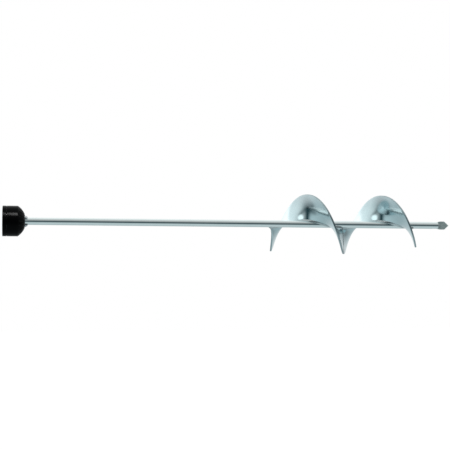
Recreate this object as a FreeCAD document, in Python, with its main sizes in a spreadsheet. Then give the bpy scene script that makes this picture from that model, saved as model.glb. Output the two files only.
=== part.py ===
"""Mortar mixing paddle held in a compact keyless drill chuck, in millimetres.

+X runs along the common axis from the chuck's rear face to the spear tip and +Z is up. The origin is
the centre of the spindle thread's mouth on the chuck's rear face. Angles round the axis start at +Z
and grow towards -Y, so a right-hand helix advances along +X as its angle grows.
"""
import FreeCAD, Part
import math
import os

import Sketcher

SIZES = {
    # black shell of the chuck
    "shell_radius": 19.5,
    "shell_wall": 2.0,
    "rear_ring_front": 5.0,
    "front_sleeve_rear": 5.2,
    "dome_rear": 19.0,
    "dome_front": 27.6,
    "dome_curve": 25.0,
    "mouth_radius": 9.2,
    "mouth_land": 0.8,
    "flute_count": 18,
    "flute_radius": 1.3,
    "flute_depth": 0.55,
    # steel core of the chuck
    "hub_radius": 16.0,
    "flange_radius": 16.8,
    "flange_front": 8.0,
    "guide_radius": 13.9,
    "guide_front": 10.5,
    "neck_radius": 10.4,
    "neck_front": 17.8,
    "nose_rear_radius": 15.6,
    "nose_shoulder": 18.6,
    "nose_front": 28.2,
    "nose_front_radius": 7.4,
    "spindle_radius": 6.35,
    "spindle_depth": 9.0,
    "floor_front": 11.4,
    "screw_hole_radius": 2.6,
    "throat_radius": 5.4,
    "edge_chamfer": 0.3,
    # jaws, each a pin that slides in an inclined bore
    "jaw_radius": 3.0,
    "jaw_slope": 16.0,
    "jaw_length": 19.5,
    "jaw_front": 31.4,
    "jaw_axis_offset": 3.85,
    "jaw_land": 1.2,
    "jaw_chamfer": 1.4,
    "jaw_phase": 42.0,
    "jaw_thread_pitch": 2.0,
    "jaw_thread_depth": 0.6,
    "jaw_thread_turns": 5,
    "jaw_thread_rear": 14.0,
    # running fits
    "running_gap": 0.05,
    "nut_gap": 0.15,
    # thrust bearing and split nut
    "washer_thickness": 0.8,
    "washer_inner": 14.0,
    "washer_outer": 16.6,
    "ball_radius": 0.9,
    "ball_circle": 15.3,
    "ball_count": 24,
    "cage_thickness": 1.0,
    "cage_outer": 16.6,
    "cage_pocket": 1.0,
    "nut_rear": 10.7,
    "nut_front": 17.4,
    "nut_outer": 15.9,
    "nut_split": 0.8,
    # round shaft
    "shaft_radius": 4.75,
    "shaft_rear": 12.0,
    "shaft_front": 586.0,
    "shaft_chamfer": 0.8,
    "slot_depth": 7.0,
    # helical flights
    "flight_radius": 40.0,
    "flight_pitch": 104.6,
    "flight_plate": 2.3,
    "flight_rear": 347.9,
    "flight_start": -176.0,
    "flight_span": 347.2,
    "end_lean": 22.0,
    "joint_span": 1.2,
    "joint_crown": 0.8,
    "weld_leg": 2.0,
    # spear tip
    "tip_plate": 3.0,
    "tip_width": 11.0,
    "tip_shoulder_rear": 589.5,
    "tip_shoulder_front": 596.5,
    "tip_front": 602.5,
    "tip_bevel": 0.9,
    "neck_weld_front": 590.5,
}

CURVE_POINTS = 12   # points that carry the flared edge of a flight's section

doc = FreeCAD.newDocument("MixingPaddle")
sheet = doc.addObject("Spreadsheet::Sheet", "Sizes")
for row, (alias, number) in enumerate(SIZES.items(), start=1):
    sheet.set(f"A{row}", alias)
    sheet.set(f"B{row}", str(number))
    sheet.setAlias(f"B{row}", alias)
doc.recompute()


class Size:
    """A length or angle, kept both as its value now and as the sheet expression that gives it."""

    def __init__(self, value, text):
        self.value = value
        self.text = text

    @staticmethod
    def of(item):
        if isinstance(item, Size):
            return item
        return Size(float(item), repr(float(item)))

    def joined(self, other, sign, value):
        return Size(value, f"({self.text} {sign} {Size.of(other).text})")

    def __add__(self, other):
        return self.joined(other, "+", self.value + Size.of(other).value)

    def __sub__(self, other):
        return self.joined(other, "-", self.value - Size.of(other).value)

    def __mul__(self, other):
        return self.joined(other, "*", self.value * Size.of(other).value)

    def __truediv__(self, other):
        return self.joined(other, "/", self.value / Size.of(other).value)

    def ratio(self, name):
        """sin, cos or tan of an angle in degrees."""
        value = getattr(math, name)(math.radians(self.value))
        return Size(value, f"{name}({self.text} * 1deg)")


def size(alias):
    return Size(float(SIZES[alias]), f"Sizes.{alias}")


def bind(thing, **properties):
    """Bind properties of a document object to sizes; an underscore pair stands for a dot."""
    for name, value in properties.items():
        thing.setExpression(name.replace("__", "."), Size.of(value).text)


def origin_plane(body, role):
    return next(item for item in body.Origin.OriginFeatures if item.Role == role)


def attached_sketch(body, name, role):
    sketch = body.newObject("Sketcher::SketchObject", name)
    sketch.AttachmentSupport = [(origin_plane(body, role), "")]
    sketch.MapMode = "FlatFace"
    return sketch


def pin_point(sketch, edge, end, across, up):
    """Hold one end of a sketch edge at the given distances from the sketch's origin."""
    for kind, value, axis in (("DistanceX", across, -2), ("DistanceY", up, -1)):
        value = Size.of(value)
        if value.value == 0:
            sketch.addConstraint(Sketcher.Constraint("PointOnObject", edge, end, axis))
            continue
        index = sketch.addConstraint(Sketcher.Constraint(kind, -1, 1, edge, end, value.value))
        sketch.setExpression(f"Constraints[{index}]", value.text)


def outline(sketch, corners, curves=None):
    """Closed outline through corners, each (across, up). curves maps a corner's number to the radius
    of an arc, bulging right of the way to the next corner, in place of the straight edge."""
    curves = curves or {}
    count = len(corners)
    places = [FreeCAD.Vector(Size.of(a).value, Size.of(b).value, 0) for a, b in corners]
    starts = []
    for index in range(count):
        first, last = places[index], places[(index + 1) % count]
        if index not in curves:
            edge = sketch.addGeometry(Part.LineSegment(first, last))
            starts.append((edge, 1, 2))
            continue
        radius = Size.of(curves[index]).value
        chord = last - first
        right = FreeCAD.Vector(chord.y, -chord.x, 0).normalize()
        sagitta = radius - math.sqrt(radius ** 2 - (chord.Length / 2) ** 2)
        crown = (first + last) / 2 + right * sagitta
        edge = sketch.addGeometry(Part.Arc(first, crown, last))
        starts.append((edge, 1, 2))
        number = sketch.addConstraint(Sketcher.Constraint("Radius", edge, radius))
        sketch.setExpression(f"Constraints[{number}]", Size.of(curves[index]).text)
    for index, (edge, start, end) in enumerate(starts):
        next_edge, next_start, _ = starts[(index + 1) % count]
        sketch.addConstraint(Sketcher.Constraint("Coincident", edge, end, next_edge, next_start))
        pin_point(sketch, edge, start, *corners[index])


def turned(label, corners, curves=None, angle=360.0):
    """Body turned about X from an outline of (along X, radius) corners."""
    body = doc.addObject("PartDesign::Body", label)
    body.Label = label
    sketch = attached_sketch(body, f"{label}_profile", "XZ_Plane")
    outline(sketch, corners, curves)
    spin = body.newObject("PartDesign::Revolution", f"{label}_turn")
    spin.Profile = sketch
    spin.ReferenceAxis = (sketch, ["H_Axis"])
    bind(spin, Angle=angle)
    return body


def about_x(degrees, along=0.0):
    """Placement turned about the X axis, and moved along it."""
    spin = FreeCAD.Rotation(FreeCAD.Vector(1, 0, 0), degrees)
    return FreeCAD.Placement(FreeCAD.Vector(along, 0, 0), spin)


def cylinder(name, radius, height, place=None):
    item = doc.addObject("Part::Cylinder", name)
    bind(item, Radius=radius, Height=height)
    item.Placement = place or FreeCAD.Placement()
    return item


def boolean(kind, name, base, tool):
    item = doc.addObject(f"Part::{kind}", name)
    item.Base = base
    item.Tool = tool
    return item


def fused(name, shapes):
    item = doc.addObject("Part::MultiFuse", name)
    item.Shapes = shapes
    return item


# ---------------------------------------------------------------- jaws

slope = size("jaw_slope")
jaw_outer_offset = size("jaw_radius") / slope.ratio("cos")


def jaw_outer_radius(along):
    """Distance from the X axis of the outermost line of a jaw, at a place along X."""
    rise = (size("jaw_front") - along) * slope.ratio("tan")
    return size("jaw_axis_offset") + rise + jaw_outer_offset


def jaw_pin(name, radius, rear_reach, front_reach):
    """Inclined cylinder on a jaw's own axis at angle 0, from behind the jaw to in front of it."""
    length = size("jaw_length") + rear_reach + front_reach
    pin = cylinder(name, radius, length)
    back = size("jaw_length") + rear_reach
    pin.Placement.Rotation = FreeCAD.Rotation(FreeCAD.Vector(0, 1, 0), 90 + slope.value)
    bind(
        pin,
        Placement__Base__x=size("jaw_front") - back * slope.ratio("cos"),
        Placement__Base__z=size("jaw_axis_offset") + back * slope.ratio("sin"),
    )
    return pin


def jaw_nose_trim(label):
    """Solid of revolution that gives the jaw its flat front face and chamfered nose."""
    front = size("jaw_front")
    reach = jaw_outer_radius(front)
    return turned(
        label,
        [
            (0, 0),
            (front, 0),
            (front, reach - size("jaw_chamfer")),
            (front - size("jaw_chamfer") * 2, reach + 1.0),
            (0, size("shell_radius")),
        ],
    )


def jaw_grip_cut(label):
    """Prism along X that leaves a narrow land on the shaft and two flanks at 60 degrees."""
    body = doc.addObject("PartDesign::Body", label)
    sketch = attached_sketch(body, f"{label}_section", "YZ_Plane")
    land = size("shaft_radius") + size("running_gap")
    half_land = size("jaw_land") / 2
    reach = size("jaw_radius") * 2
    rise = (reach - half_land) * 0.577
    outline(
        sketch,
        [
            (half_land, land),
            (reach, land + rise),
            (reach, 0),
            (reach * -1.0, 0),
            (reach * -1.0, land + rise),
            (half_land * -1.0, land),
        ],
    )
    pad = body.newObject("PartDesign::Pad", f"{label}_pad")
    pad.Profile = sketch
    bind(pad, Length=size("jaw_front") + 2)
    return body


def jaw_thread_cut(label):
    """Ring grooves about X along the jaw's outer side, where the split nut drives it."""
    pitch = size("jaw_thread_pitch")
    rear = size("jaw_thread_rear")
    clear = size("jaw_thread_depth") / 4
    corners = []
    for turn in range(int(SIZES["jaw_thread_turns"])):
        crest = rear + pitch * turn
        root = crest + pitch / 2
        corners.append((crest, jaw_outer_radius(crest) + clear))
        corners.append((root, jaw_outer_radius(root) - size("jaw_thread_depth")))
    end = rear + pitch * SIZES["jaw_thread_turns"]
    corners.append((end, jaw_outer_radius(end) + clear))
    corners.append((end, size("shell_radius")))
    corners.append((rear, size("shell_radius")))
    return turned(label, corners)


def jaw_angles():
    return [SIZES["jaw_phase"] + 120 * number for number in range(3)]


def make_jaws():
    jaws = []
    for number, angle in enumerate(jaw_angles(), start=1):
        pin = jaw_pin(f"jaw_pin_{number}", size("jaw_radius"), 0, 3)
        trimmed = boolean("Common", f"jaw_blank_{number}", pin, jaw_nose_trim(f"jaw_trim_{number}"))
        cuts = fused(
            f"jaw_cuts_{number}",
            [jaw_grip_cut(f"jaw_grip_{number}"), jaw_thread_cut(f"jaw_thread_{number}")],
        )
        jaw = boolean("Cut", f"jaw_{number}", trimmed, cuts)
        jaw.Placement = about_x(angle)
        jaws.append(jaw)
    return jaws


# ---------------------------------------------------------------- chuck core and rear ring

def make_chuck_body():
    """Steel core: spindle socket, flange, bearing guide, nut neck, nose and three jaw bores."""
    turned_core = turned(
        "core_blank",
        [
            (0, size("spindle_radius")),
            (size("spindle_depth"), size("spindle_radius")),
            (size("spindle_depth"), size("screw_hole_radius")),
            (size("floor_front"), size("screw_hole_radius")),
            (size("floor_front"), size("throat_radius")),
            (size("nose_front"), size("throat_radius")),
            (size("nose_front"), size("nose_front_radius")),
            (size("nose_shoulder"), size("nose_rear_radius")),
            (size("neck_front"), size("nose_rear_radius")),
            (size("neck_front"), size("neck_radius")),
            (size("guide_front"), size("neck_radius")),
            (size("guide_front"), size("guide_radius")),
            (size("flange_front"), size("guide_radius")),
            (size("flange_front"), size("flange_radius")),
            (size("rear_ring_front"), size("flange_radius")),
            (size("rear_ring_front"), size("hub_radius")),
            (0, size("hub_radius")),
        ],
    )
    travel_room = 6.8
    bores = []
    for number, angle in enumerate(jaw_angles(), start=1):
        bore_radius = size("jaw_radius") + size("running_gap")
        bore = jaw_pin(f"jaw_bore_tool_{number}", bore_radius, travel_room, 4)
        turned_bore = doc.addObject("Part::Compound", f"jaw_bore_{number}")
        turned_bore.Links = [bore]
        turned_bore.Placement = about_x(angle)
        bores.append(turned_bore)
    return boolean("Cut", "chuck_body", turned_core, fused("jaw_bores", bores))


def make_rear_sleeve():
    """Black ring pressed on the core, still while the front sleeve turns."""
    chamfer = size("edge_chamfer")
    outer = size("shell_radius")
    return turned(
        "rear_sleeve",
        [
            (0, size("hub_radius")),
            (size("rear_ring_front"), size("hub_radius")),
            (size("rear_ring_front"), outer - chamfer),
            (size("rear_ring_front") - chamfer, outer),
            (chamfer, outer),
            (0, outer - chamfer),
        ],
    )


# ---------------------------------------------------------------- turning sleeve

def make_front_sleeve():
    """Black moulded shell with a domed, fluted nose."""
    chamfer = size("edge_chamfer")
    outer = size("shell_radius")
    liner = outer - size("shell_wall")
    rear = size("front_sleeve_rear")
    shoulder = size("nut_front") + 0.3
    blank = turned(
        "front_sleeve_blank",
        [
            (rear, liner),
            (shoulder, liner),
            (shoulder, size("nose_rear_radius") + 1.2),
            (size("nose_shoulder"), size("nose_rear_radius") + 0.9),
            (size("dome_front") - size("mouth_land"), size("mouth_radius")),
            (size("dome_front"), size("mouth_radius")),
            (size("dome_rear") + chamfer, outer - chamfer * 0.6),
            (size("dome_rear"), outer),
            (rear + chamfer, outer),
            (rear, outer - chamfer),
        ],
        {5: size("dome_curve")},
    )
    run = SIZES["dome_front"] - SIZES["dome_rear"]
    drop = SIZES["shell_radius"] - SIZES["mouth_radius"]
    lean = math.degrees(math.atan2(drop, run))
    sagitta = (run ** 2 + drop ** 2) / 8 / SIZES["dome_curve"]
    stand_off = sagitta + SIZES["flute_radius"] - SIZES["flute_depth"]
    normal = FreeCAD.Vector(drop, 0, run).normalize()
    along = FreeCAD.Vector(run, 0, -drop)
    start = FreeCAD.Vector(SIZES["dome_rear"], 0, SIZES["shell_radius"]) - along * 0.25
    flutes = []
    for number in range(int(SIZES["flute_count"])):
        flute = cylinder(f"flute_tool_{number}", size("flute_radius"), along.Length * 1.4)
        aimed = FreeCAD.Rotation(FreeCAD.Vector(0, 1, 0), 90 + lean)
        flute.Placement = FreeCAD.Placement(start + normal * stand_off, aimed)
        turn = about_x(360 * (number + 0.5) / SIZES["flute_count"])
        flute.Placement = turn.multiply(flute.Placement)
        flutes.append(flute)
    return boolean("Cut", "front_sleeve", blank, fused("flutes", flutes))


def make_sleeve_insert():
    """Steel liner of the front sleeve: runs on the core's flange and carries the nut band."""
    inner = size("flange_radius") + size("running_gap")
    outer = size("shell_radius") - size("shell_wall")
    rear = size("front_sleeve_rear") + 0.1
    front = size("nut_front") + 0.2
    return turned(
        "sleeve_insert",
        [(rear, inner), (front, inner), (front, outer), (rear, outer)],
    )


def make_nut_band():
    inner = size("nut_outer")
    outer = size("flange_radius") + size("running_gap")
    rear = size("nut_rear")
    front = size("nut_front")
    return turned(
        "nut_band",
        [(rear, inner), (front, inner), (front, outer), (rear, outer)],
    )


def make_nut_halves():
    """Coned nut, split so that it goes into the neck of the core; its cone follows the jaws."""
    rear = size("nut_rear")
    front = size("nut_front")
    gap = size("nut_gap")
    halves = []
    for number in (1, 2):
        half = turned(
            f"split_nut_half_{number}",
            [
                (rear, jaw_outer_radius(rear) + gap),
                (front, jaw_outer_radius(front) + gap),
                (front, size("nut_outer")),
                (rear, size("nut_outer")),
            ],
            angle=Size.of(180) - size("nut_split"),
        )
        half.Placement = about_x(180 * number + SIZES["nut_split"] / 2)
        halves.append(half)
    return halves


# ---------------------------------------------------------------- thrust bearing

def make_thrust_washer():
    rear = size("flange_front")
    front = rear + size("washer_thickness")
    inner = size("washer_inner")
    outer = size("washer_outer")
    return turned(
        "thrust_washer",
        [(rear, inner), (front, inner), (front, outer), (rear, outer)],
    )


def ball_centre():
    return size("flange_front") + size("washer_thickness") + size("ball_radius")


def make_bearing_cage():
    """Flat ring that runs on the core's guide, with one pocket for each ball."""
    body = turned(
        "bearing_cage",
        [
            (ball_centre() - size("cage_thickness") / 2, size("guide_radius") + size("running_gap")),
            (ball_centre() + size("cage_thickness") / 2, size("guide_radius") + size("running_gap")),
            (ball_centre() + size("cage_thickness") / 2, size("cage_outer")),
            (ball_centre() - size("cage_thickness") / 2, size("cage_outer")),
        ],
    )
    sketch = attached_sketch(body, "pocket_circle", "YZ_Plane")
    spot = FreeCAD.Vector(0, SIZES["ball_circle"], 0)
    edge = sketch.addGeometry(Part.Circle(spot, FreeCAD.Vector(0, 0, 1), SIZES["cage_pocket"]))
    number = sketch.addConstraint(Sketcher.Constraint("Radius", edge, SIZES["cage_pocket"]))
    sketch.setExpression(f"Constraints[{number}]", size("cage_pocket").text)
    pin_point(sketch, edge, 3, 0, size("ball_circle"))
    doc.recompute()
    pocket = body.newObject("PartDesign::Pocket", "ball_pocket")
    pocket.Profile = sketch
    pocket.Midplane = True
    pocket.Type = "Length"
    bind(pocket, Length=size("dome_front") * 2)
    ring = body.newObject("PartDesign::PolarPattern", "ball_pockets")
    ring.Originals = [pocket]
    ring.Axis = (sketch, ["N_Axis"])
    ring.Angle = 360
    bind(ring, Occurrences=size("ball_count"))
    body.Tip = ring
    return body


def make_bearing_balls():
    balls = []
    for number in range(int(SIZES["ball_count"])):
        ball = doc.addObject("Part::Sphere", f"ball_{number}")
        bind(ball, Radius=size("ball_radius"))
        place = FreeCAD.Placement()
        place.Base = FreeCAD.Vector(ball_centre().value, 0, SIZES["ball_circle"])
        turn = about_x(360 * number / SIZES["ball_count"])
        ball.Placement = turn.multiply(place)
        balls.append(ball)
    group = doc.addObject("Part::Compound", "bearing_balls")
    group.Links = balls
    return group


# ---------------------------------------------------------------- shaft and spear tip

def make_shaft():
    """Round bar, chamfered at the rear and slotted at the front for the spear's tang."""
    body = doc.addObject("PartDesign::Body", "paddle_shaft")
    body.Label = "paddle_shaft"
    sketch = attached_sketch(body, "shaft_profile", "XZ_Plane")
    chamfer = size("shaft_chamfer")
    length = size("shaft_front") - size("shaft_rear")
    radius = size("shaft_radius")
    outline(
        sketch,
        [
            (0, 0),
            (length, 0),
            (length, radius),
            (chamfer, radius),
            (0, radius - chamfer),
        ],
    )
    spin = body.newObject("PartDesign::Revolution", "shaft_turn")
    spin.Profile = sketch
    spin.ReferenceAxis = (sketch, ["H_Axis"])
    spin.Angle = 360
    slot = attached_sketch(body, "slot_outline", "XY_Plane")
    half = size("tip_plate") / 2
    outline(
        slot,
        [
            (length - size("slot_depth"), half * -1.0),
            (length + 1, half * -1.0),
            (length + 1, half),
            (length - size("slot_depth"), half),
        ],
    )
    doc.recompute()
    pocket = body.newObject("PartDesign::Pocket", "tang_slot")
    pocket.Profile = slot
    pocket.Midplane = True
    pocket.Type = "Length"
    bind(pocket, Length=radius * 4)
    bind(body, Placement__Base__x=size("shaft_rear"))
    return body


def make_spear_tip():
    """Flat arrowhead whose tang fills the slot in the shaft."""
    body = doc.addObject("PartDesign::Body", "spear_tip")
    body.Label = "spear_tip"
    sketch = attached_sketch(body, "spear_outline", "XZ_Plane")
    tang = size("shaft_radius") - 0.25
    half = size("tip_width") / 2
    rear = size("shaft_front") - size("slot_depth")
    outline(
        sketch,
        [
            (rear, tang * -1.0),
            (size("shaft_front"), tang * -1.0),
            (size("tip_shoulder_rear"), half * -1.0),
            (size("tip_shoulder_front"), half * -1.0),
            (size("tip_front"), 0),
            (size("tip_shoulder_front"), half),
            (size("tip_shoulder_rear"), half),
            (size("shaft_front"), tang),
            (rear, tang),
        ],
    )
    pad = body.newObject("PartDesign::Pad", "spear_plate")
    pad.Profile = sketch
    pad.Midplane = True
    bind(pad, Length=size("tip_plate"))
    doc.recompute()
    sharpened = []
    for number, edge in enumerate(pad.Shape.Edges, start=1):
        low, high = (vertex.Point for vertex in edge.Vertexes)
        ahead = min(low.x, high.x) > SIZES["tip_shoulder_front"] - 0.1
        if ahead and abs(low.y - high.y) < 0.1:
            sharpened.append(f"Edge{number}")
    bevel = body.newObject("PartDesign::Chamfer", "spear_bevel")
    bevel.Base = (pad, sharpened)
    bind(bevel, Size=size("tip_bevel"))
    body.Tip = bevel
    return body


def make_tip_weld():
    """Tapered bead on both faces of the plate, from the shaft's end out along the spear."""
    cone = doc.addObject("Part::Cone", "neck_cone")
    bind(
        cone,
        Radius1=size("shaft_radius"),
        Radius2=size("tip_plate") / 2 + 0.4,
        Height=size("neck_weld_front") - size("shaft_front"),
    )
    cone.Placement.Rotation = FreeCAD.Rotation(FreeCAD.Vector(0, 1, 0), 90)
    bind(cone, Placement__Base__x=size("shaft_front"))
    plate = doc.addObject("Part::Box", "plate_gap")
    side = size("shaft_radius") * 4
    bind(
        plate,
        Length=side,
        Width=size("tip_plate"),
        Height=side,
        Placement__Base__x=size("shaft_front") - 1,
        Placement__Base__y=size("tip_plate") * -0.5,
        Placement__Base__z=side * -0.5,
    )
    return boolean("Cut", "tip_weld", cone, plate)


# ---------------------------------------------------------------- helical flights

lead = SIZES["flight_pitch"] / (2 * math.pi)


def stretch(radius):
    """How much longer a plate's axial section is than its thickness, at a radius of the helicoid."""
    return math.hypot(1, lead / radius)


def flare(plate, inner, outer, side):
    """Edge of a plate's axial section, in the plane of the radius and the axis."""
    points = []
    for step in range(CURVE_POINTS):
        radius = inner * (outer / inner) ** (step / (CURVE_POINTS - 1))
        points.append(FreeCAD.Vector(radius, 0, side * plate / 2 * stretch(radius)))
    curve = Part.BSplineCurve()
    curve.interpolate(points)
    return curve.toShape()


def end_points(edge):
    return edge.Vertexes[0].Point, edge.Vertexes[-1].Point


def plate_section(plate):
    """Axial section of a helicoid plate of even thickness, from the shaft to the rim."""
    near = flare(plate, SIZES["shaft_radius"], SIZES["flight_radius"], -1)
    far = flare(plate, SIZES["shaft_radius"], SIZES["flight_radius"], 1)
    rim = Part.makeLine(end_points(near)[1], end_points(far)[1])
    root = Part.makeLine(end_points(far)[0], end_points(near)[0])
    return Part.Wire([near, rim, far, root])


def fillet_section(side):
    """Axial section of the fillet weld between one face of the plate and the shaft."""
    shaft = SIZES["shaft_radius"]
    leg = SIZES["weld_leg"]
    face = flare(SIZES["flight_plate"], shaft, shaft + leg, side)
    root, crest = end_points(face)
    toe = root + FreeCAD.Vector(0, 0, side * leg * stretch(shaft))
    return Part.Wire([face, Part.makeLine(crest, toe), Part.makeLine(toe, root)])


def helix_sweep(name, section, start, span):
    """Section carried along the flights' helix over span degrees, from an angle on it."""
    spine = doc.addObject("Part::Helix", f"{name}_helix")
    turns = Size.of(span) / 360
    bind(
        spine,
        Pitch=size("flight_pitch"),
        Height=size("flight_pitch") * turns,
        Radius=size("flight_radius"),
    )
    profile = doc.addObject("Part::Feature", f"{name}_section")
    profile.Shape = section
    doc.recompute()
    sweep = doc.addObject("Part::Sweep", name)
    sweep.Sections = [profile]
    sweep.Spine = (spine, [f"Edge{n}" for n in range(1, len(spine.Shape.Edges) + 1)])
    sweep.Solid = True
    sweep.Frenet = True
    travelled = start - SIZES["flight_start"]
    along = SIZES["flight_rear"] + SIZES["flight_pitch"] * travelled / 360
    stood = FreeCAD.Placement(
        FreeCAD.Vector(), FreeCAD.Rotation(FreeCAD.Vector(0, 1, 0), 90)
    )
    sweep.Placement = about_x(start - 180, along).multiply(stood)
    return sweep


def end_wedge(name, angle, way):
    """Block off the corner of a plate at its start (way 1) or end (way -1), so that the edge leans
    from the radius into the plate."""
    lean = SIZES["end_lean"]
    step = SIZES["shaft_radius"] * math.sin(math.radians(lean))
    wedge = doc.addObject("Part::Box", name)
    bind(
        wedge,
        Length=size("flight_pitch") / 4,
        Width=size("flight_radius"),
        Height=size("flight_radius") * 1.2,
    )
    overhang = 5.0
    corner = FreeCAD.Vector(-overhang, step, 0)
    if way < 0:
        corner = FreeCAD.Vector(
            overhang - SIZES["flight_pitch"] / 4, -step - SIZES["flight_radius"], 0
        )
    travelled = angle - SIZES["flight_start"]
    along = SIZES["flight_rear"] + SIZES["flight_pitch"] * travelled / 360
    turn = about_x(angle + lean * way, along)
    wedge.Placement = turn.multiply(FreeCAD.Placement(corner, FreeCAD.Rotation()))
    return wedge


def make_flights():
    """Two plates end to end on one helix, the weld between them and their root welds."""
    plate = plate_section(SIZES["flight_plate"])
    first = SIZES["flight_start"]
    joint = first + SIZES["flight_span"]
    second = joint + SIZES["joint_span"]
    last = second + SIZES["flight_span"]
    rear_blank = helix_sweep("rear_flight_blank", plate, first, size("flight_span"))
    front_blank = helix_sweep("front_flight_blank", plate, second, size("flight_span"))
    pieces = [
        boolean("Cut", "rear_flight", rear_blank, end_wedge("start_wedge", first, 1)),
        boolean("Cut", "front_flight", front_blank, end_wedge("last_wedge", last, -1)),
        helix_sweep(
            "flight_joint_weld",
            plate_section(SIZES["flight_plate"] + SIZES["joint_crown"]),
            joint,
            size("joint_span"),
        ),
    ]
    for place, start in (("rear", first), ("front", second)):
        beads = [
            helix_sweep(f"{place}_bead_{side}", fillet_section(way), start, size("flight_span"))
            for side, way in (("back", -1), ("face", 1))
        ]
        weld = doc.addObject("Part::Compound", f"{place}_flight_weld")
        weld.Links = beads
        pieces.append(weld)
    return pieces


# ---------------------------------------------------------------- build, check, write

nodes = [
    make_chuck_body(),
    make_rear_sleeve(),
    make_front_sleeve(),
    make_sleeve_insert(),
    make_nut_band(),
    *make_nut_halves(),
    make_thrust_washer(),
    make_bearing_cage(),
    make_bearing_balls(),
    *make_jaws(),
    make_shaft(),
    make_spear_tip(),
    make_tip_weld(),
    *make_flights(),
]
doc.recompute()

for item in doc.Objects:
    if "Invalid" in item.State or "Error" in item.State:
        raise RuntimeError(f"{item.Label} did not compute: {item.State}")
for node in nodes:
    if node.Shape.isNull() or not node.Shape.isValid() or node.Shape.Volume <= 0:
        raise RuntimeError(f"{node.Label} has no valid solid")

os.makedirs("parts", exist_ok=True)
for node in nodes:
    node.Shape.exportStep(f"parts/{node.Label}.step")
    print(f"{node.Label}: {len(node.Shape.Solids)} solids, {node.Shape.Volume:.1f} mm3")
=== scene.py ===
"""Looks of the mortar mixing paddle: plated plates and beads, shaft, chuck and a white studio.

Metres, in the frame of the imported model: +X from the chuck to the spear tip, +Z up. In the meshes,
angles round the axis start at +Z and grow towards -Y.
"""
import math

import bpy
from mathutils import Matrix, Vector, noise


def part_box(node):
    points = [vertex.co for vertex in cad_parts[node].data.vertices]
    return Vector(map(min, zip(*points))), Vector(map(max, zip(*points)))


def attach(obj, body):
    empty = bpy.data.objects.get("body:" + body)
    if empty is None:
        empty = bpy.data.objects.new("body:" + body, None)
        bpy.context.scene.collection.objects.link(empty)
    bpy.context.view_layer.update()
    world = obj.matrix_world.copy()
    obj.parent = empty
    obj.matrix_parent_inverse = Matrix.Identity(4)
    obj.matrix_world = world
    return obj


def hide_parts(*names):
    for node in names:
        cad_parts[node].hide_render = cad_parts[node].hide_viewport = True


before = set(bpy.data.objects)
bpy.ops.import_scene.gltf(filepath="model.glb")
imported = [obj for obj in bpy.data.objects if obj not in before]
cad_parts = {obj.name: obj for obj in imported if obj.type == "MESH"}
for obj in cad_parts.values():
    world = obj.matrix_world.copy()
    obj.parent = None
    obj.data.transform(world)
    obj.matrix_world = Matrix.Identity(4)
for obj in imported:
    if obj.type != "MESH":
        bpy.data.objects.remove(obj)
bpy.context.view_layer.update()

MM = 0.001

# ------------------------------------------------------------------ sizes

# Radii, pitch and places are read from the frame. The plate's thickness and angles repeat the CAD's.
shaft_low, shaft_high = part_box("paddle_shaft")
rear_low, rear_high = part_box("rear_flight")
front_low, front_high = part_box("front_flight")

SHAFT_RADIUS = (shaft_high.z - shaft_low.z) / 2
RIM_RADIUS = rear_high.z
PLATE = 2.3 * MM            # thickness of the flights' plate
SPAN = math.radians(347.2)  # turn of one flight
JOINT = math.radians(1.2)   # turn of the weld between the flights
PITCH = (front_low.x - rear_low.x) * 2 * math.pi / (SPAN + JOINT)
LEAD = PITCH / (2 * math.pi)
START = math.radians(-176.0)    # angle at which the rear flight starts, at the shaft
LEAN = math.radians(22.0)   # how far the free ends of the pair lean from the radius into the plate

FACE_STEPS = 26             # steps from the root to the rim along one face of a flight
TURN_STEPS = 170            # steps along the turn of a flight
EDGE_ROUND = 0.5 * MM       # rounding of the rim's edges
END_ROUND = 0.6 * MM        # length along the rim in which an end is rounded
WAVE = 0.22 * MM            # height of the waves that stretching leaves in the plate
BEAD_SUNK = 0.3 * MM        # how deep the beads start below the shaft's surface
RIPPLE_STEPS = 6            # steps along one ripple of a bead


def root_reach(radius):
    """Half of the plate's length along X where it meets a cylinder of that radius."""
    return PLATE / 2 * math.hypot(1, LEAD / radius)


REAR_X = rear_low.x + root_reach(SHAFT_RADIUS)


# ------------------------------------------------------------------ material helpers

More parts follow.
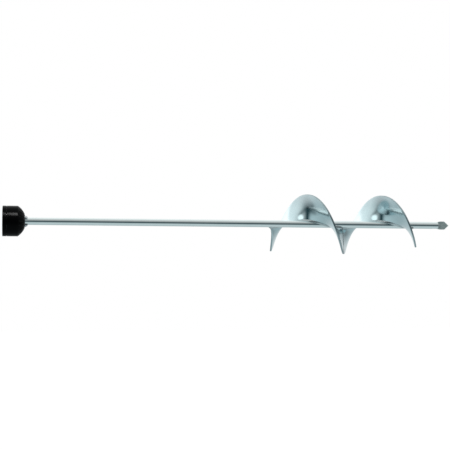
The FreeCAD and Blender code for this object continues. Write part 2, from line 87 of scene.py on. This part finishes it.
class Nodes:
    """Short ways to add and join nodes in the tree of a material or a world."""

    def __init__(self, owner, shader="Principled BSDF"):
        owner.use_nodes = True
        self.material = owner
        self.tree = owner.node_tree
        self.shader = self.tree.nodes[shader]

    def add(self, kind, inputs=None, **settings):
        node = self.tree.nodes.new(kind)
        for key, value in settings.items():
            setattr(node, key, value)
        for key, value in (inputs or {}).items():
            self.feed(node.inputs[key], value)
        return node

    def feed(self, socket, value):
        if isinstance(value, bpy.types.NodeSocket):
            self.tree.links.new(value, socket)
        else:
            socket.default_value = value

    def math(self, operation, first, second=0.0):
        node = self.add("ShaderNodeMath", operation=operation)
        self.feed(node.inputs[0], first)
        self.feed(node.inputs[1], second)
        return node.outputs[0]

    def product(self, *factors):
        result = factors[0]
        for factor in factors[1:]:
            result = self.math("MULTIPLY", result, factor)
        return result

    def total(self, first, second):
        return self.math("ADD", first, second)

    def scaled(self, shade, factor):
        node = self.add("ShaderNodeVectorMath", {0: shade, "Scale": factor}, operation="SCALE")
        return node.outputs[0]

    def ramp(self, factor, stops):
        node = self.add("ShaderNodeValToRGB")
        self.feed(node.inputs[0], factor)
        elements = node.color_ramp.elements
        while len(elements) < len(stops):
            elements.new(0.5)
        for element, (place, shade) in zip(elements, stops):
            element.position = place
            element.color = shade if len(shade) == 4 else (*shade, 1)
        return node.outputs[0]

    def spread(self, value, low, high, start=0.0, end=1.0, blend="LINEAR"):
        """Map start to end onto low to high."""
        node = self.add("ShaderNodeMapRange", interpolation_type=blend)
        self.feed(node.inputs["Value"], value)
        node.inputs["From Min"].default_value = start
        node.inputs["From Max"].default_value = end
        node.inputs["To Min"].default_value = low
        node.inputs["To Max"].default_value = high
        return node.outputs[0]

    def bell(self, value, centre, width):
        """1 at the centre, falling smoothly to 0 within about twice the width."""
        away = self.math("DIVIDE", self.math("SUBTRACT", value, centre), width)
        return self.math("EXPONENT", self.product(away, away, -1.0))

    def mix(self, factor, first, second):
        node = self.add("ShaderNodeMix", data_type="RGBA")
        self.feed(node.inputs[0], factor)
        self.feed(node.inputs[6], first)
        self.feed(node.inputs[7], second)
        return node.outputs[2]

    def place(self):
        return self.add("ShaderNodeTexCoord").outputs["Object"]

    def around_axis(self):
        """(along X, angle, radius) of a point, for grain that follows turned or rolled metal."""
        split = self.add("ShaderNodeSeparateXYZ", {0: self.place()})
        x, y, z = split.outputs
        radius = self.math("SQRT", self.total(self.product(y, y), self.product(z, z)))
        angle = self.math("ARCTAN2", y, z)
        return x, angle, radius

    def vector(self, x, y, z):
        node = self.add("ShaderNodeCombineXYZ")
        for socket, value in zip(node.inputs, (x, y, z)):
            self.feed(socket, value)
        return node.outputs[0]

    def grain(self, where, scale, detail=4.0, roughness=0.6):
        node = self.add(
            "ShaderNodeTexNoise",
            {"Vector": where, "Scale": scale, "Detail": detail, "Roughness": roughness},
        )
        return node.outputs[0]

    def bump(self, height, strength, distance):
        node = self.add(
            "ShaderNodeBump",
            {"Height": height, "Strength": strength, "Distance": distance},
        )
        self.feed(self.shader.inputs["Normal"], node.outputs[0])


def new_look(name):
    """A new material and the short ways to build its nodes."""
    return Nodes(bpy.data.materials.new(name))


def metal(name, dark, light, rough_low, rough_high):
    """Metal whose colour and roughness drift between two values in soft patches."""
    nodes = new_look(name)
    patches = nodes.grain(nodes.place(), 60.0, 5.0)
    nodes.feed(nodes.shader.inputs["Metallic"], 1.0)
    nodes.feed(nodes.shader.inputs["Base Color"], nodes.ramp(patches, [(0.3, dark), (0.7, light)]))
    nodes.feed(nodes.shader.inputs["Roughness"], nodes.spread(patches, rough_low, rough_high))
    return nodes


def plated_plate():
    """Zinc plated rolled plate: fine rolling grain round the axis, faint cloudy patches."""
    nodes = metal("plated_plate", (0.57, 0.70, 0.73), (0.65, 0.77, 0.80), 0.11, 0.16)
    _, angle, radius = nodes.around_axis()
    rolled = nodes.vector(nodes.product(angle, 0.012), radius, 0.0)
    grain = nodes.grain(rolled, 2600.0, 3.0)
    nodes.bump(grain, 0.02, 0.0002)
    return nodes.material


def cut_edge_and_painted_shade():
    """Bare cut edge of the plate, darker and rougher than the plated faces; its darkness is partly
    the bare steel and partly painted shade along the rim.
    """
    nodes = metal("cut_edge_and_painted_shade", (0.34, 0.41, 0.43), (0.46, 0.54, 0.56), 0.28, 0.40)
    nodes.bump(nodes.grain(nodes.place(), 1200.0, 4.0), 0.15, 0.0002)
    return nodes.material


def drawn_bar():
    """Bright plated bar with faint draw lines along it."""
    nodes = metal("drawn_bar", (0.80, 0.85, 0.85), (0.86, 0.90, 0.90), 0.07, 0.12)
    along, angle, _ = nodes.around_axis()
    drawn = nodes.vector(nodes.product(along, 0.03), nodes.product(angle, 0.005), 0.0)
    nodes.bump(nodes.grain(drawn, 3000.0, 3.0), 0.08, 0.0002)
    return nodes.material


def welded_metal():
    """Bare weld bead, rough and a little darker than the plate."""
    nodes = metal("weld_metal", (0.42, 0.47, 0.48), (0.66, 0.70, 0.71), 0.20, 0.38)
    nodes.bump(nodes.grain(nodes.place(), 900.0, 5.0), 0.25, 0.0003)
    return nodes.material


def forged_tip():
    """Pale matt steel of the arrowhead."""
    nodes = metal("forged_tip", (0.62, 0.70, 0.68), (0.78, 0.84, 0.82), 0.50, 0.62)
    nodes.bump(nodes.grain(nodes.place(), 500.0, 6.0), 0.25, 0.0003)
    return nodes.material


def turned_steel(name, dark, light, rough_low, rough_high):
    """Steel with fine rings left by the lathe."""
    nodes = metal(name, dark, light, rough_low, rough_high)
    along, _, radius = nodes.around_axis()
    rings = nodes.vector(along, radius, 0.0)
    nodes.bump(nodes.grain(rings, 4000.0, 2.0), 0.10, 0.0001)
    return nodes.material


def moulded_black():
    """Black moulded nylon: satin gloss with a fine even texture and faint flow marks."""
    nodes = new_look("moulded_black")
    cloud = nodes.grain(nodes.place(), 90.0, 4.0)
    nodes.feed(
        nodes.shader.inputs["Base Color"],
        nodes.ramp(cloud, [(0.3, (0.0004, 0.0004, 0.0005)), (0.7, (0.0012, 0.0012, 0.0014))]),
    )
    nodes.feed(nodes.shader.inputs["Roughness"], nodes.spread(cloud, 0.14, 0.19))
    nodes.feed(nodes.shader.inputs["Specular IOR Level"], 0.04)
    nodes.bump(nodes.grain(nodes.place(), 1500.0, 2.0), 0.005, 0.0001)
    return nodes.material


def ball_brass():
    """Brass of the ball cage."""
    return metal("cage_brass", (0.55, 0.38, 0.16), (0.72, 0.55, 0.28), 0.2, 0.35).material


# ------------------------------------------------------------------ meshes

def helix_point(radius, angle, offset):
    """Point at a radius on the flights' helicoid, moved by offset square to the plate."""
    length = math.hypot(radius, LEAD)
    along = REAR_X + LEAD * (angle - START) + offset * radius / length
    turned = angle - offset * LEAD / (radius * length)
    return Vector((along, -radius * math.sin(turned), radius * math.cos(turned)))


def closed_loft(name, rings):
    """Closed skin through rings of equal length, capped at both ends."""
    count = len(rings[0])
    points = [point for ring in rings for point in ring]
    faces = []
    for step in range(len(rings) - 1):
        for corner in range(count):
            beside = (corner + 1) % count
            near = step * count
            far = near + count
            faces.append((near + corner, near + beside, far + beside, far + corner))
    faces.append(tuple(reversed(range(count))))
    last = (len(rings) - 1) * count
    faces.append(tuple(range(last, last + count)))
    mesh = bpy.data.meshes.new(name)
    mesh.from_pydata(points, [], faces)
    mesh.update()
    piece = bpy.data.objects.new(name, mesh)
    bpy.context.scene.collection.objects.link(piece)
    return piece


def select_only(pieces):
    """Select these objects and nothing else, with the first one active."""
    for other in bpy.context.selected_objects:
        other.select_set(False)
    for piece in pieces:
        piece.select_set(True)
    bpy.context.view_layer.objects.active = pieces[0]


def smooth(piece, degrees=35.0):
    """Shade smooth, with edges sharper than the angle kept crisp."""
    select_only([piece])
    bpy.ops.object.shade_smooth_by_angle(angle=math.radians(degrees))
    piece.select_set(False)


def cut_back(radius, lean):
    """Turn that a straight leaning end takes off the plate at a radius."""
    return lean - math.asin(SHAFT_RADIUS * math.sin(lean) / radius)


def plate_ring(start, share, leans, squeeze):
    """Rounded section of the plate: out along one face, round the rim and back."""
    half = PLATE / 2 * squeeze
    bevel = min(EDGE_ROUND, half * 0.9)
    bevel_steps = 4
    faces = []
    for step in range(FACE_STEPS + 1):
        reach = (step / FACE_STEPS) ** 1.4      # closer together near the shaft
        faces.append(SHAFT_RADIUS + (RIM_RADIUS - bevel - SHAFT_RADIUS) * reach)
    section = [(radius, -half) for radius in faces]
    for step in range(1, bevel_steps):
        turn = math.radians(90 * step / bevel_steps)
        section.append(
            (RIM_RADIUS - bevel + bevel * math.sin(turn), -half + bevel - bevel * math.cos(turn))
        )
    section += [(radius, -offset) for radius, offset in reversed(section)]
    ring = []
    for radius, offset in section:
        first = start + cut_back(radius, leans[0])
        last = start + SPAN - cut_back(radius, leans[1])
        angle = first + (last - first) * share
        swell = noise.noise(Vector((radius * 60, angle * 1.6, 3.1))) * WAVE
        reach = (radius - SHAFT_RADIUS) / (RIM_RADIUS - SHAFT_RADIUS)
        ring.append(helix_point(radius, angle, offset + swell * reach))
    return ring


def make_flight(node, start, leans):
    """Rolled plate with eased edges and the slight waviness of stretched sheet."""
    eased = END_ROUND / RIM_RADIUS / SPAN
    thinned = (0.55, 0.85)      # share of the thickness at an end's first two rings
    shares = [0.0, eased * 0.35]
    shares += [eased + (1 - 2 * eased) * step / TURN_STEPS for step in range(TURN_STEPS + 1)]
    shares += [1 - eased * 0.35, 1.0]
    rings = []
    for number, share in enumerate(shares):
        from_end = min(number, len(shares) - 1 - number)
        squeeze = thinned[from_end] if from_end < len(thinned) else 1.0
        rings.append(plate_ring(start, share, leans, squeeze))
    piece = closed_loft(f"{node}_plate", rings)
    smooth(piece)
    piece.data.materials.append(plate_look)
    piece.data.materials.append(edge_look)
    around = len(rings[0])
    rim = range(FACE_STEPS, around - FACE_STEPS - 1)    # places of the rim's faces in a ring
    for face in piece.data.polygons:
        is_end = len(face.vertices) > 4
        if is_end or face.index % around in rim:
            face.material_index = 1
    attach(piece, "paddle")
    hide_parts(node)


def bead_ring(angle, side, leg):
    """Section of a fillet bead between the shaft and one face of the plate."""
    steps = 7
    ring = [helix_point(SHAFT_RADIUS - BEAD_SUNK, angle, side * PLATE * 0.3)]
    for step in range(steps + 1):
        turn = math.radians(90 * step / steps)
        bulge = 1.0 - 0.20 * math.sin(2 * turn)     # between a flat fillet and a round one
        out = leg * math.sin(turn) * bulge
        across = leg * math.cos(turn) * bulge
        ring.append(helix_point(SHAFT_RADIUS + out, angle, side * (PLATE / 2 + across)))
    if side < 0:
        ring.reverse()
    return ring


def make_root_weld(node, start):
    """Two rippled fillet beads, one on each side of a flight's root."""
    ripple = 1.7 * MM
    full_leg = 1.9 * MM
    taper = 2.0 * MM            # length in which a bead reaches its full size
    bead_radius = SHAFT_RADIUS + 1.0 * MM
    length = math.hypot(bead_radius, LEAD) * SPAN
    samples = int(length / ripple * RIPPLE_STEPS)
    beads = []
    for side in (-1, 1):
        rings = []
        for step in range(samples + 1):
            share = step / samples
            angle = start + SPAN * share
            phase = (share * length / ripple + 0.3 * side) % 1.0
            crest = 1.0 - 0.16 * phase ** 2
            drift = 1.0 + 0.10 * noise.noise(Vector((share * 40, side * 5.0, 0.7)))
            end = min(share, 1 - share) * length / taper
            leg = full_leg * crest * drift * min(1.0, 0.45 + end * 0.55)
            rings.append(bead_ring(angle, side, leg))
        beads.append(closed_loft(f"{node}_{side}", rings))
    piece = joined(beads, f"{node}_bead")
    smooth(piece, 50)
    piece.data.materials.append(weld_look)
    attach(piece, "paddle")
    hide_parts(node)


def make_joint_weld():
    """Rippled butt weld over the seam between the two flights, from the shaft to the rim."""
    ripple = 1.5 * MM
    half_width = 1.5 * MM
    crown = 0.45 * MM           # how far the bead stands above the plate's faces
    taper = 1.2 * MM
    inner = SHAFT_RADIUS - BEAD_SUNK
    outer = RIM_RADIUS - EDGE_ROUND
    middle = START + SPAN + JOINT / 2
    samples = int((outer - inner) / ripple * RIPPLE_STEPS)
    sides = 20
    rings = []
    for step in range(samples + 1):
        radius = inner + (outer - inner) * step / samples
        phase = (radius / ripple) % 1.0
        crest = 1.0 - 0.14 * phase ** 2
        drift = 1.0 + 0.10 * noise.noise(Vector((radius * 300, 2.3, 0.4)))
        end = min(step, samples - step) / samples * (outer - inner) / taper
        swell = crest * drift * min(1.0, 0.7 + 0.3 * end)
        length = math.hypot(radius, LEAD)
        ring = []
        for side in range(sides):
            turn = 2 * math.pi * side / sides
            across = half_width * swell * math.cos(turn)
            offset = (PLATE / 2 + crown) * swell * math.sin(turn)
            ring.append(helix_point(radius, middle + across / length, offset))
        rings.append(ring)
    piece = closed_loft("flight_joint_bead", rings)
    smooth(piece, 50)
    piece.data.materials.append(weld_look)
    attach(piece, "paddle")
    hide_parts("flight_joint_weld")


def joined(parts, name):
    """The parts as one object of that name."""
    select_only(parts)
    bpy.ops.object.join()
    parts[0].name = name
    parts[0].data.name = name
    return parts[0]


# ------------------------------------------------------------------ looks of the pieces

plate_look = plated_plate()
edge_look = cut_edge_and_painted_shade()
weld_look = welded_metal()
bar_look = drawn_bar()
tip_look = forged_tip()
black_look = moulded_black()
core_look = turned_steel("core_steel", (0.10, 0.10, 0.11), (0.18, 0.18, 0.19), 0.3, 0.45)
nut_look = turned_steel("nut_steel", (0.30, 0.30, 0.32), (0.42, 0.42, 0.44), 0.25, 0.4)
jaw_look = turned_steel("jaw_steel", (0.45, 0.46, 0.47), (0.62, 0.63, 0.64), 0.25, 0.4)
ball_look = turned_steel("bearing_steel", (0.66, 0.67, 0.69), (0.78, 0.79, 0.81), 0.08, 0.16)
brass_look = ball_brass()

CAD_LOOKS = {
    "paddle_shaft": bar_look,
    "spear_tip": tip_look,
    "tip_weld": weld_look,
    "chuck_body": core_look,
    "sleeve_insert": core_look,
    "rear_sleeve": black_look,
    "front_sleeve": black_look,
    "nut_band": nut_look,
    "split_nut_half_1": nut_look,
    "split_nut_half_2": nut_look,
    "thrust_washer": ball_look,
    "bearing_balls": ball_look,
    "bearing_cage": brass_look,
    "jaw_1": jaw_look,
    "jaw_2": jaw_look,
    "jaw_3": jaw_look,
}

for node, look in CAD_LOOKS.items():
    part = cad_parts[node]
    part.data.materials.clear()
    part.data.materials.append(look)
    smooth(part)

make_flight("rear_flight", START, (LEAN, 0.0))
make_flight("front_flight", START + SPAN + JOINT, (0.0, LEAN))
make_root_weld("rear_flight_weld", START)
make_root_weld("front_flight_weld", START + SPAN + JOINT)
make_joint_weld()


# ------------------------------------------------------------------ studio

# The studio that the metal reflects. Its shades depend on the direction (x, y, z) of a reflection:
# +X to the right, +Y behind the object, +Z up. They were chosen in trials against the photo,
# by looking up which direction each part of the plates reflects there.
TABLE_SHADE = (0.54, 0.645, 0.665)
CEILING_SHADE = (0.96, 1.02, 1.02)
GAP_SHADE = (0.015, 0.045, 0.055, 1)
BACKDROP_SHADE = (1.15, 1.15, 1.15, 1)
PANEL_SHADE = (1.5, 1.5, 1.5, 1)
PATCH_SHADE = (1.30, 1.38, 1.38, 1)

FLOOR_LEVEL = -0.45


def make_floor(centre):
    """Pale floor that the camera sees; the metal reflects the studio's own table instead."""
    mesh = bpy.data.meshes.new("studio_floor")
    half = 4.0      # half of the floor's side, in metres
    corners = [(-half, -half, 0), (half, -half, 0), (half, half, 0), (-half, half, 0)]
    mesh.from_pydata(corners, [], [(0, 1, 2, 3)])
    floor = bpy.data.objects.new("studio_floor", mesh)
    bpy.context.scene.collection.objects.link(floor)
    floor.location = centre
    floor.visible_glossy = False
    nodes = new_look("pale_floor")
    nodes.feed(nodes.shader.inputs["Base Color"], (0.1, 0.1, 0.1, 1))
    nodes.feed(nodes.shader.inputs["Roughness"], 1.0)
    nodes.feed(nodes.shader.inputs["Specular IOR Level"], 0.0)
    nodes.feed(nodes.shader.inputs["Emission Color"], (1, 1, 1, 1))
    nodes.feed(nodes.shader.inputs["Emission Strength"], 0.97)
    mesh.materials.append(nodes.material)


def table_and_ceiling(nodes, y, z):
    """Grey table, brighter in front, under a white ceiling that is brighter at the back."""
    table = nodes.scaled(TABLE_SHADE, nodes.spread(y, 1.08, 0.80, -0.6, 0.8))
    ceiling = nodes.scaled(CEILING_SHADE, nodes.spread(y, 0.40, 1.25, -1.0, 1.0))
    above = nodes.spread(z, 0, 1, -0.3, 0.3, "SMOOTHSTEP")
    return nodes.mix(above, table, ceiling)


def dark_flag(nodes, x, y, z):
    """How much a dark flag on the left, whose top leans towards the camera, covers."""
    place = nodes.spread(z, 0.05, -0.23, -0.53, 0.45)
    width = nodes.spread(z, 0.24, 0.18, -0.5, 0.45)
    leftward = nodes.spread(x, 1, 0, -0.75, -0.45)
    below_top = nodes.spread(z, 0.6, 0.0, 0.6, 0.85)
    above_foot = nodes.spread(z, 0, 1, -0.70, -0.50)
    return nodes.product(nodes.bell(y, place, width), leftward, below_top, above_foot)


def horizon(nodes, x, y):
    """Shade at table height: a dark gap in front that turns into the pale backdrop behind."""
    left = nodes.total(nodes.spread(y, 0, 0.66, -0.04, 0.44), nodes.spread(y, 0, 0.20, 0.44, 1.0))
    right = nodes.total(nodes.spread(y, 0, 0.22, -0.8, -0.3), nodes.spread(y, 0, 0.50, 0.2, 1.0))
    rightward = nodes.spread(x, 0, 1, -0.3, 0.3)
    leftward = nodes.math("SUBTRACT", 1.0, rightward)
    far = nodes.total(nodes.product(right, rightward), nodes.product(left, leftward))
    return nodes.mix(far, GAP_SHADE, BACKDROP_SHADE)


def horizon_band(nodes, x, y, z):
    """How much of the horizon's shade shows: a band that climbs towards the back."""
    level = nodes.total(nodes.product(nodes.math("MAXIMUM", y, 0.0), 0.35), -0.10)
    width = nodes.spread(x, 0.30, 0.46, -0.6, 0.0)
    return nodes.bell(z, level, width)


def dark_corner(nodes, x, y, z):
    """How much a dark corner covers, low on the left and just behind the object."""
    leftward = nodes.spread(x, 0.65, 0, -0.80, -0.45)
    return nodes.product(nodes.bell(y, 0.20, 0.14), nodes.bell(z, -0.25, 0.13), leftward)


def back_panel(nodes, x, y, z):
    """How much a bright panel covers, high at the back on the left."""
    backward = nodes.spread(y, 0, 1, 0.66, 0.80)
    leftward = nodes.spread(x, 1, 0, -0.25, -0.05)
    return nodes.product(nodes.bell(z, 0.42, 0.24), backward, leftward)


def soft_patch(nodes, toward):
    """How much a round soft light covers, up on the left in front."""
    closeness = nodes.add(
        "ShaderNodeVectorMath", {0: toward, 1: (-0.57, -0.49, 0.66)}, operation="DOT_PRODUCT"
    )
    return nodes.spread(closeness.outputs["Value"], 0, 1, 0.905, 0.98, "SMOOTHSTEP")


def make_world():
    """White where the camera looks, and a soft grey studio in reflections."""
    world = bpy.data.worlds.new("white_studio")
    bpy.context.scene.world = world
    nodes = Nodes(world, "Background")
    toward = nodes.add("ShaderNodeTexCoord").outputs["Generated"]
    x, y, z = nodes.add("ShaderNodeSeparateXYZ", {0: toward}).outputs
    lit = table_and_ceiling(nodes, y, z)
    lit = nodes.mix(dark_flag(nodes, x, y, z), lit, GAP_SHADE)
    lit = nodes.mix(horizon_band(nodes, x, y, z), lit, horizon(nodes, x, y))
    lit = nodes.mix(dark_corner(nodes, x, y, z), lit, GAP_SHADE)
    lit = nodes.mix(back_panel(nodes, x, y, z), lit, PANEL_SHADE)
    lit = nodes.mix(soft_patch(nodes, toward), lit, PATCH_SHADE)
    nodes.feed(nodes.shader.inputs["Color"], lit)
    white = nodes.add("ShaderNodeBackground", {"Color": (1, 1, 1, 1), "Strength": 1.0})
    seen = nodes.add("ShaderNodeLightPath").outputs["Is Camera Ray"]
    both = nodes.add(
        "ShaderNodeMixShader", {0: seen, 1: nodes.shader.outputs[0], 2: white.outputs[0]}
    )
    nodes.feed(nodes.tree.nodes["World Output"].inputs["Surface"], both.outputs[0])


def area_light(name, place, target, size_x, size_y, power):
    """Rectangular lamp at a place, aimed at a target."""
    lamp = bpy.data.lights.new(name, "AREA")
    lamp.shape = "RECTANGLE"
    lamp.size = size_x
    lamp.size_y = size_y
    lamp.energy = power
    light = bpy.data.objects.new(name, lamp)
    bpy.context.scene.collection.objects.link(light)
    light.location = place
    light.rotation_euler = (Vector(place) - Vector(target)).to_track_quat("Z", "Y").to_euler()
    return light


def make_studio(middle):
    """World, floor and a lamp that lights only the black shell, whose highlight it makes."""
    make_world()
    make_floor((middle.x, 0, FLOOR_LEVEL))
    softbox = area_light(
        "chuck_softbox",
        place=(0.07, -0.5, 0.63),
        target=(0.02, 0, 0),
        size_x=0.14,
        size_y=0.26,
        power=4.6,
    )
    shell = bpy.data.collections.new("lit_by_chuck_softbox")
    for node in ("rear_sleeve", "front_sleeve"):
        shell.objects.link(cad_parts[node])
    softbox.light_linking.receiver_collection = shell


def make_camera(middle):
    """Long lens a little below shaft height, swung a little towards the chuck end."""
    azimuth = math.radians(-11.2)
    elevation = math.radians(-1.7)
    roll = math.radians(0.25)
    distance = 1.323
    away = Vector(
        (
            math.sin(azimuth) * math.cos(elevation),
            -math.cos(azimuth) * math.cos(elevation),
            math.sin(elevation),
        )
    )
    lens = bpy.data.cameras.new("photo_camera")
    lens.lens = 80
    lens.sensor_width = 36
    lens.clip_end = 50
    camera = bpy.data.objects.new("photo_camera", lens)
    bpy.context.scene.collection.objects.link(camera)
    look = away.to_track_quat("Z", "Y").to_matrix().to_4x4()
    camera.matrix_world = (
        Matrix.Translation(middle + away * distance) @ look @ Matrix.Rotation(roll, 4, "Z")
    )
    bpy.context.scene.camera = camera


aim = Vector((0.2875, 0, -2.3 * MM))
make_studio(aim)
make_camera(aim)
bpy.context.scene.view_settings.view_transform = "Standard"
